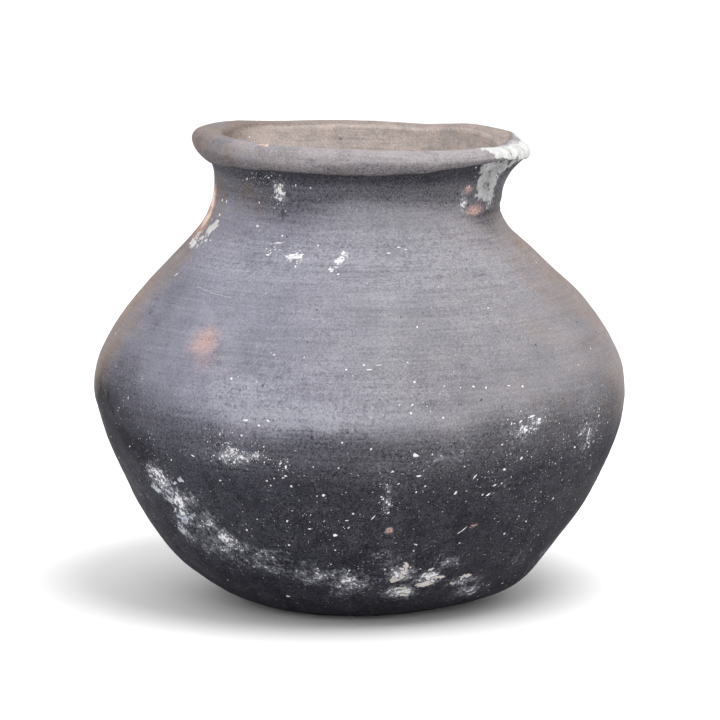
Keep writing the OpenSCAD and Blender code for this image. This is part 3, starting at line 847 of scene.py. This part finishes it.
# --- materials ---
class Graph:
    """Short ways to add shader nodes and join them."""

    def __init__(self, name):
        self.material = bpy.data.materials.new(name)
        self.material.use_nodes = True
        self.tree = self.material.node_tree
        self.shader = self.tree.nodes["Principled BSDF"]

    def put(self, kind, inputs=None, **settings):
        made = self.tree.nodes.new(kind)
        for key, value in settings.items():
            setattr(made, key, value)
        for key, value in (inputs or {}).items():
            self.feed(made.inputs[key], value)
        return made

    def feed(self, socket, value):
        if isinstance(value, bpy.types.NodeSocket):
            self.tree.links.new(value, socket)
        else:
            socket.default_value = value

    def do(self, operation, a, b=0.0, c=0.0, clamp=False):
        return self.put("ShaderNodeMath", {0: a, 1: b, 2: c}, operation=operation, use_clamp=clamp).outputs[0]

    def times(self, a, b):
        return self.do("MULTIPLY", a, b)

    def most(self, a, b):
        return self.do("MAXIMUM", a, b)

    def total(self, *terms):
        """Sum of (weight, value) terms and plain values."""
        result = 0.0
        for term in terms:
            if isinstance(term, tuple):
                result = self.do("MULTIPLY_ADD", term[1], term[0], result)
            else:
                result = self.do("ADD", term, result)
        return result

    def step(self, value, low, high):
        wanted = {"Value": value, "From Min": low, "From Max": high}
        return self.put("ShaderNodeMapRange", wanted, interpolation_type="SMOOTHSTEP").outputs[0]

    def mix(self, factor, a, b, blend="MIX"):
        made = self.put("ShaderNodeMix", data_type="RGBA", blend_type=blend, clamp_factor=True)
        self.feed(made.inputs["Factor"], factor)
        self.feed(made.inputs[6], a if isinstance(a, bpy.types.NodeSocket) else (*a, 1))
        self.feed(made.inputs[7], b if isinstance(b, bpy.types.NodeSocket) else (*b, 1))
        return made.outputs[2]

    def mask(self, name):
        return self.put("ShaderNodeAttribute", attribute_name=name).outputs["Fac"]

    def scaled(self, vector, factor):
        wanted = {0: vector, "Scale": factor}
        return self.put("ShaderNodeVectorMath", wanted, operation="SCALE").outputs[0]

    def shifted(self, coords, offset):
        return self.put("ShaderNodeVectorMath", {0: coords, 1: offset}).outputs[0]

    def millimetres(self):
        return self.scaled(self.put("ShaderNodeTexCoord").outputs["Object"], 1 / MM)

    def stretched(self, coords, across, along):
        parts = {"Vector": coords, "Scale": (1 / across, 1 / across, 1 / along)}
        return self.put("ShaderNodeMapping", parts).outputs[0]

    def noise(self, coords, size, detail=2.0, roughness=0.5, offset=0.0):
        """Noise centred on zero, from about -1 to 1."""
        moved = self.shifted(coords, (offset, offset, offset)) if offset else coords
        wanted = {"Vector": moved, "Scale": 1 / size, "Detail": detail, "Roughness": roughness}
        made = self.put("ShaderNodeTexNoise", wanted).outputs["Fac"]
        return self.do("MULTIPLY_ADD", made, 4.0, -2.0)

    def specks(self, coords, size, density, sharpness):
        """Small ragged spots in a share of the cells."""
        made = self.put("ShaderNodeTexVoronoi", {"Vector": coords, "Scale": 1 / size})
        split = self.put("ShaderNodeSeparateColor", {0: made.outputs["Color"]})
        chosen = self.do("LESS_THAN", split.outputs[0], density)
        radius = self.do("MULTIPLY_ADD", split.outputs[1], 0.3, 0.14)
        inside = self.do("SUBTRACT", radius, made.outputs["Distance"])
        return self.times(self.step(inside, 0.0, sharpness), chosen)

    def complete(self, colour, roughness, ior, specular, height, strength):
        """Feeds the shader, with a height in millimetres for the fine relief."""
        wanted = {"Height": height, "Strength": strength, "Distance": MM}
        relief_normal = self.put("ShaderNodeBump", wanted).outputs[0]
        self.feed(self.shader.inputs["Base Color"], colour)
        self.feed(self.shader.inputs["Roughness"], roughness)
        self.feed(self.shader.inputs["IOR"], ior)
        self.feed(self.shader.inputs["Specular IOR Level"], specular)
        self.feed(self.shader.inputs["Normal"], relief_normal)
        return self.material


# Linear colours of the fired clay and what lies on it.
GREY = (0.160, 0.158, 0.184)
GREY_PALE = (0.250, 0.246, 0.280)
COOL_TINT = (0.985, 0.99, 1.055)
WARM_TINT = (1.02, 1.0, 0.945)
# The smoke black, also used for painted shade.
CHARCOAL = (0.0130, 0.0128, 0.0188)
BROWN_GREY = (0.212, 0.169, 0.150)
TAN = (0.500, 0.418, 0.380)
TAN_GREY = (0.345, 0.312, 0.304)
TERRACOTTA = (0.470, 0.292, 0.245)
BARE_CHIP = (0.780, 0.600, 0.510)
ROLLED_GREY = (0.304, 0.280, 0.288)
LIME = (0.700, 0.690, 0.700)
# The film's colour, which also paints the sheen.
FILM_AND_SHEEN = (0.280, 0.285, 0.322)
PORE = (0.022, 0.020, 0.022)


def clay_material(name):
    """Smoke-fired clay. All sections share it, so that no seam shows where two of them meet."""
    g = Graph(name)
    mm = g.millimetres()
    wheel = g.put("ShaderNodeAttribute", attribute_name="wheel").outputs["Vector"]
    cloud = g.noise(mm, 48, 2.0, 0.5)
    blotch = g.noise(mm, 13, 3.0, 0.55, 7)
    patch = g.noise(mm, 4.0, 4.0, 0.62, 19)
    grain = g.noise(mm, 1.6, 3.0, 0.65, 31)
    dust = g.noise(mm, 0.85, 2.0, 0.6, 43)
    wiped = g.noise(g.stretched(wheel, 30, 1.3), 1.0, 3.0, 0.6)
    wiped_wide = g.noise(g.stretched(wheel, 80, 9.0), 1.0, 2.0, 0.5, 5)
    soot_and_shade, lime, haze_and_sheen = g.mask("soot_and_shade"), g.mask("lime"), g.mask("haze_and_sheen")
    fleck, ember, warm, rolled = g.mask("fleck"), g.mask("ember"), g.mask("warm"), g.mask("rolled")

    # Smoked grey clay, browner where less smoke reached it, and tan inside.
    # The haze, a pale film and in front a painted sheen, also pales the grey.
    tone = g.total((0.9, haze_and_sheen), (0.5, cloud), (0.45, blotch), (0.3, wiped_wide))
    grey = g.mix(g.step(tone, -0.8, 1.0), GREY, GREY_PALE)
    sideways = g.put("ShaderNodeSeparateXYZ", {0: mm}).outputs[0]
    side = g.step(g.total(sideways, (20.0, cloud)), -95, 70)
    grey = g.mix(1.0, grey, g.mix(side, COOL_TINT, WARM_TINT), "MULTIPLY")
    worn = g.step(g.total(rolled, (0.24, blotch), (0.20, patch), (0.14, wiped)), 0.2, 1.1)
    grey = g.mix(worn, grey, ROLLED_GREY)
    brown = g.step(g.total(warm, (0.16, patch), (0.20, blotch)), 0.10, 0.95)
    lining = g.mix(g.step(g.total((0.5, blotch), (0.5, patch), (0.3, cloud)), -0.5, 0.9), TAN, TAN_GREY)
    toasted = g.mix(g.step(g.total(warm, (0.10, patch)), 1.15, 1.7), BROWN_GREY, lining)
    grey = g.mix(brown, grey, toasted)
    glow = g.step(g.total(ember, (0.10, patch), (0.05, grain), (0.03, dust)), 0.2, 1.05)
    chip = g.mix(g.step(g.total(ember, (0.12, patch)), 0.95, 1.35), TERRACOTTA, BARE_CHIP)
    grey = g.mix(g.times(glow, 0.9), grey, chip)

    # Blackening, part smoke and part painted shade, follows its mask, with a ragged grainy edge.
    smoke_and_shade = g.total(soot_and_shade, (0.08, patch), (0.06, blotch), (0.07, grain), (0.035, wiped))
    keeps = g.do("SUBTRACT", 1.0, g.times(glow, 0.85))
    clay = g.mix(g.times(g.most(smoke_and_shade, 0.0), keeps), grey, CHARCOAL)
    gritty = g.total(0.24, (0.86, soot_and_shade), (0.50, haze_and_sheen))
    grit = g.times(gritty, g.total((0.55, grain), (0.85, dust), (0.30, wiped)))
    streaks = g.times(rolled, g.step(wiped, 0.0, 0.6))
    shade = g.total(1.0, grit, (0.09, patch), (0.07, wiped), (-0.24, streaks))
    clay = g.scaled(clay, g.most(shade, 0.25))

    # A thin pale film, lacy where worn and a painted sheen at the belly's front, then crumbs of lime and
    # single flecks.
    web = g.noise(mm, 2.6, 5.0, 0.72, 57)
    laid = g.most(haze_and_sheen, g.times(lime, 0.95))
    thin = g.total(laid, (0.40, web), (0.26, patch), (0.30, grain), (0.10, wiped))
    film_and_sheen = g.times(g.step(thin, 0.26, 1.15), 0.70)
    clay = g.mix(film_and_sheen, clay, FILM_AND_SHEEN)
    crumbs = g.total(lime, (0.16, web), (0.16, patch), (0.62, grain), (0.25, dust))
    crust = g.step(crumbs, 0.90, 1.12)
    fine = g.specks(mm, 0.85, g.times(fleck, 0.26), 0.2)
    wide = g.specks(g.shifted(mm, (3.3, 9.1, 5.7)), 1.7, g.times(fleck, 0.06), 0.12)
    flecks = g.most(g.times(fine, 0.62), g.times(wide, 0.85))
    pale = g.most(crust, flecks)
    pores = g.specks(g.shifted(mm, (1.7, 4.1, 8.3)), 2.1, 0.010, 0.14)
    clay = g.mix(g.times(pores, 0.7), clay, PORE)
    clay = g.mix(g.times(pale, 0.92), clay, LIME)

    uneven = (0.05, blotch), (0.05, grain), (0.03, wiped)
    rough = g.total(0.62, *uneven, (0.28, pale), (0.16, glow), (0.10, film_and_sheen))
    raised = (0.040, grain), (0.020, dust), (0.030, wiped), (0.05, patch)
    surface = g.total(*raised, (0.10, pale), (-0.16, pores))
    rough = g.do("ADD", rough, 0.0, clamp=True)
    return g.complete(clay, rough, ior=1.46, specular=0.06, height=surface, strength=0.85)


def crust_material(name, pale, stained, bed, drift):
    """Chalky lime with a chalk grain. Stained patches, bare pits and thin edges show the clay it lies on."""
    g = Graph(name)
    mm = g.millimetres()
    blotch = g.noise(mm, 5.5, 3.0, 0.6, drift)
    lumps = g.noise(mm, 2.0, 3.0, 0.6, drift + 5)
    grain = g.noise(mm, 0.8, 4.0, 0.65, drift + 11)
    chalk = g.mix(g.step(g.total((0.6, blotch), (0.4, grain)), -0.9, 0.8), stained, pale)
    bare = g.step(g.total((0.5, grain), (0.4, blotch), (0.3, lumps)), 0.55, 1.1)
    thickness = g.mask("thickness")
    cover = g.step(g.total(thickness, (0.10, grain), (0.13, lumps)), 0.05, 0.32)
    laid = g.times(cover, g.do("MULTIPLY_ADD", bare, -0.8, 1.0))
    chalk = g.mix(laid, bed, chalk)
    rough = g.total(0.86, (0.05, grain))
    lumpy = g.total((0.09, grain), (0.10, blotch))
    return g.complete(chalk, rough, ior=1.4, specular=0.2, height=lumpy, strength=0.9)


def floor_material():
    g = Graph("pale_floor")
    mm = g.millimetres()
    tone = g.step(g.total((0.5, g.noise(mm, 12, 3.0, 0.5)), (0.5, g.noise(mm, 60, 2.0, 0.5, 9))), -1.0, 1.0)
    g.feed(g.shader.inputs["Base Color"], g.mix(tone, (0.855, 0.855, 0.855), (0.865, 0.865, 0.865)))
    g.feed(g.shader.inputs["Roughness"], g.total(0.85, (0.03, g.noise(mm, 8, 2.0, 0.5, 3))))
    return g.material


# --- the pieces ---
charcoal_clay = clay_material("charcoal_clay")
grey_clay = clay_material("grey_clay")
brown_grey_clay = clay_material("brown_grey_clay")

base_disc(charcoal_clay)
clay_section("lower_bowl", DISC_END, BOWL_END, DISC_END + LAP, BOWL_END + LAP, charcoal_clay)
clay_section("shoulder", BOWL_END, SHOULDER_END, BOWL_END + LAP, SHOULDER_END + LAP, grey_clay)
clay_section("neck", SHOULDER_END, NECK_TOP, SHOULDER_END + LAP, NECK_TOP, grey_clay)
rim(brown_grey_clay)

CHARRED = (0.026, 0.025, 0.032)
rim_lime = crust_material("rim_lime", (0.64, 0.64, 0.63), (0.38, 0.385, 0.37), (0.30, 0.28, 0.28), 3)
shoulder_lime = crust_material("shoulder_lime", (0.68, 0.66, 0.68), (0.50, 0.48, 0.49), (0.20, 0.19, 0.20), 5)
base_lime = crust_material("base_lime", (0.60, 0.55, 0.52), (0.36, 0.34, 0.34), CHARRED, 9)
neck_lime = crust_material("neck_lime", (0.43, 0.435, 0.45), (0.23, 0.228, 0.222), (0.10, 0.098, 0.104), 17)
belly_lime = crust_material("belly_lime", (0.52, 0.54, 0.60), (0.24, 0.26, 0.30), CHARRED, 29)

body = body_skin()
lip = lip_skin()


def place(bearing, height):
    """The skin and the distance along it for a bearing and a height on the body, neck or flare."""
    joint_here = JOINT_Z - NECK_R * math.sin(math.radians(bearing)) * math.sin(math.radians(RIM_LEAN))
    if height < joint_here:
        return body, along_at_height(height)
    return lip, height - joint_here


def add_crust(name, skin, bearing_range, along_range, height_at, material):
    mesh = crust_mesh(name, skin, bearing_range, along_range, height_at)
    add_piece(name + "_lime", mesh, name, material)


def add_body_crust(name, bearing_range, height_range, islands, shape, material):
    """A crust on the body, made of islands given as (bearing, height, half width, half height)."""
    along_range = [along_at_height(height) for height in height_range]
    islands = [(bearing, along_at_height(height), *halves) for bearing, height, *halves in islands]
    add_crust(name, body, bearing_range, along_range, ragged_height(islands, **shape), material)


shoulder_islands = [
    (-68, 186.5, 4.6, 4.0), (-71, 182.5, 6.0, 2.4), (-74, 179.5, 4.5, 2.4), (-65.5, 182, 2.0, 1.4),
    (-65.5, 188.5, 2.6, 3.0),
]
shape = {"seed": 51, "thickness": 0.5, "grain": 1.35}
add_body_crust("shoulder_crust", (-82, -58), (172, 194), shoulder_islands, shape, shoulder_lime)
# The neck's crust climbs from the neck's foot to the crease under the lip: (bearing, distance up, halves).
neck_islands = [
    (62, 0.8, 6.5, 4.6), (63, 5, 7, 5), (61, 9, 8, 5.4), (57, 13, 6.5, 4.2), (67, 12, 6, 5), (74, 15, 7, 4),
    (58, 4.8, 7.5, 4.6), (55.5, 8.5, 6.5, 4.2), (53, 13, 5, 3.2),
]
neck_height = ragged_height(neck_islands, seed=61, thickness=0.45, grain=0.65)
add_crust("neck_crust", lip, (48, 86), (0.3, 17), neck_height, neck_lime)
belly_islands = [
    (-54.4, 73, 2.8, 2.8), (-55, 67, 2.6, 3.4), (-51.7, 65, 4.6, 3.4), (-51, 61.5, 4.2, 3.2),
    (-44, 74, 4.5, 2.0), (-47, 71, 4.0, 2.4), (-48.5, 52.5, 4.2, 3.2), (-45, 55, 3.6, 2.0),
    (-52, 45.5, 3.4, 3.4), (-50.5, 56, 2.6, 3.6),
]
shape = {"seed": 71, "thickness": 0.32, "grain": 1.45}
add_body_crust("belly_crust", (-64, -36), (36, 84), belly_islands, shape, belly_lime)
base_islands = [
    (11.4, 31, 4.6, 5.2), (9.5, 26.5, 2.6, 2.2), (19.9, 23.5, 4.4, 2.6), (22.5, 26, 3.0, 1.6),
    (18.5, 31, 4.4, 1.7), (11.6, 21.5, 4.2, 2.4), (13.5, 17, 3.4, 2.2), (29, 21, 2.0, 1.6),
    (31, 24, 2.6, 1.5), (33, 25.3, 2.8, 1.3),
]
shape = {"seed": 81, "thickness": 0.45, "grain": 1.2}
add_body_crust("base_crust", (2, 36), (10, 38), base_islands, shape, base_lime)

# Distances along the lip's outline: its widest point, and the crown above it.
lip_radius = np.hypot(lip.rings[:, 0, 0], lip.rings[:, 0, 1])
LIP_WIDEST = float(lip.along[np.argmax(lip_radius)])
LIP_CROWN = LIP_WIDEST + 5.5


def rim_crust_height(bearing, along, plain):
    """A bright smear that starts as a thin tip and widens to the right, with one round blob."""
    share = smooth(bearing, 46, 64)
    upper = LIP_CROWN + 3.2 - 0.8 * share + 0.9 * noise(plain, 5, 91) + 0.4 * noise(plain, 1.6, 90)
    lower = LIP_CROWN - (0.5 + 11 * share) + 1.5 * noise(plain, 4, 92) + 1.0 * noise(plain, 1.7, 93)
    ends = smooth(bearing, 45, 50) * (1 - smooth(bearing, 112, 130))
    inside = np.minimum(upper - along, along - lower) / 1.4
    from_blob = np.hypot(bearing_gap(bearing, 54) * degree_length(plain), along - (LIP_WIDEST + 0.5))
    blob = smooth(1.25 - from_blob / 2.5, 0.0, 0.4)
    shape = np.maximum(smooth(inside, 0.0, 0.7) * ends, blob)
    worn = smooth(noise(plain, 2.4, 94) + 0.6 * noise(plain, 1.1, 95), 0.50, 0.80) * (1 - blob)
    shape = shape * (1 - worn * smooth(bearing, 55, 60))
    lumps = 0.75 + 0.25 * noise(plain, 3, 96) + 0.25 * noise(plain, 1.2, 97)
    return 0.55 * shape * lumps - 0.12 * (1 - shape)


add_crust("rim_crust", lip, (42, 136), (LIP_CROWN - 15, LIP_CROWN + 5), rim_crust_height, rim_lime)

# Flakes in a spot of full strength, how closely they gather, and a degree's length on the belly.
FLAKES_PER_SPOT = 40
GATHERED = 0.6
BELLY_DEGREE = 2.3


def all_flakes():
    """The listed marks, the scratch, and a seeded scatter on the flecked parts of the wall."""
    flakes = []
    for bearing, height, length, width, tilt in MARKS:
        flakes.append((bearing, height, length, width, tilt, 0.12 + 0.08 * width))
    for (bearing, height), (next_bearing, next_height) in zip(SCRATCH, SCRATCH[1:]):
        run, climb = (next_bearing - bearing) * SCRATCH_DEGREE, next_height - height
        middle = (bearing + next_bearing) / 2, (height + next_height) / 2
        tilt = math.degrees(math.atan2(climb, run))
        flakes.append((*middle, 0.95 * math.hypot(run, climb), 0.2, tilt, 0.07))
    scatter = np.random.default_rng(20)
    for spot_bearing, spot_height, half_w, half_h, strength in FLECK_SPOTS:
        for _ in range(int(FLAKES_PER_SPOT * strength)):
            bearing = spot_bearing + scatter.normal() * half_w / BELLY_DEGREE * GATHERED
            height = spot_height + scatter.normal() * half_h * GATHERED
            if 8 < height < 220:
                width = min(0.20 + 0.19 * scatter.exponential(), 1.0)
                length = width * scatter.uniform(1.2, 2.6)
                flakes.append((bearing, height, length, width, scatter.uniform(10, 80), 0.12))
    return flakes


flake_lime = crust_material("flake_lime", (0.84, 0.83, 0.82), (0.56, 0.55, 0.56), (0.24, 0.235, 0.25), 47)
flake_body = flake_mesh("body_flakes", all_flakes(), seed=7)
add_piece("body_flakes", flake_body, None, flake_lime)

# --- floor, light and camera ---
FLOOR_RADIUS = 14.0
SKY_STRENGTH = 1.17


def round_floor():
    grid = bmesh.new()
    bmesh.ops.create_circle(grid, cap_ends=True, cap_tris=True, segments=96, radius=FLOOR_RADIUS)
    mesh = bpy.data.meshes.new("floor")
    grid.to_mesh(mesh)
    grid.free()
    mesh.materials.append(floor_material())
    floor = bpy.data.objects.new("floor", mesh)
    bpy.context.scene.collection.objects.link(floor)


round_floor()

world = bpy.data.worlds.new("studio")
world.use_nodes = True
world.node_tree.nodes["Background"].inputs["Color"].default_value = (1, 1, 1, 1)
world.node_tree.nodes["Background"].inputs["Strength"].default_value = SKY_STRENGTH
bpy.context.scene.world = world


def soft_light(name, place, aim, size, watts):
    data = bpy.data.lights.new(name, "AREA")
    data.shape = "DISK"
    data.size = size
    data.energy = watts
    lamp = bpy.data.objects.new(name, data)
    lamp.location = place
    lamp.rotation_euler = (Vector(aim) - Vector(place)).to_track_quat("-Z", "Y").to_euler()
    bpy.context.scene.collection.objects.link(lamp)


POT_MIDDLE = (0, 0, 0.12)
soft_light("key", (0.75, -1.15, 2.85), POT_MIDDLE, size=1.7, watts=64)

# The camera stands a little above the rim and looks at the middle of the pot.
CAMERA_DISTANCE = 2.1
CAMERA_ELEVATION = math.radians(9)
AIM = Vector((0, 0, 0.1182))
camera_data = bpy.data.cameras.new("camera")
camera_data.sensor_width = 36
camera_data.lens = 210
camera = bpy.data.objects.new("camera", camera_data)
away = Vector((0, -math.cos(CAMERA_ELEVATION), math.sin(CAMERA_ELEVATION)))
camera.location = AIM + CAMERA_DISTANCE * away
camera.rotation_euler = (-away).to_track_quat("-Z", "Y").to_euler()
bpy.context.scene.collection.objects.link(camera)
bpy.context.scene.camera = camera
bpy.context.scene.view_settings.view_transform = "Standard"
bpy.context.scene.view_settings.look = "None"
